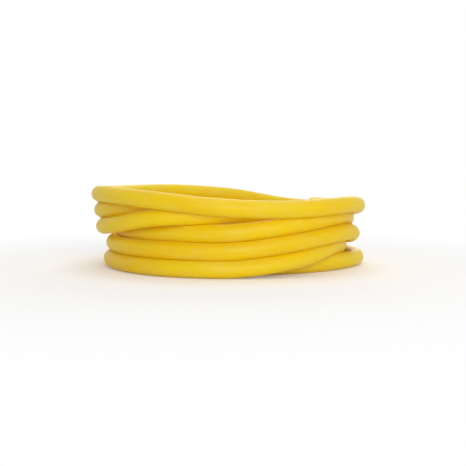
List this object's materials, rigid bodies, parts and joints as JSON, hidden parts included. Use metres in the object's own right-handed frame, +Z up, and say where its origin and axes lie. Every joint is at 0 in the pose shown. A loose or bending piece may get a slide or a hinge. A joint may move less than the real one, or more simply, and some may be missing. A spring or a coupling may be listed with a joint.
{
  "type": "rubber tubing coil",
  "caption": "Coil of soft yellow rubber tubing, one plain round length wound by hand into loose turns that lie on and beside each other, with both ends cut square.",
  "frame": {"origin": "under the middle of the coil's outline, in the plane of the table that it lies on", "axes": "+Z up, along the axis of the coil; -Y is the front, +X the right side"},
  "size_m": [0.1588, 0.1566, 0.0464],
  "materials": {
    "rubber": "soft matt yellow natural rubber, extruded"
  },
  "bodies": {
    "root": {"tubing": "rubber"}
  },
  "joints": []
}
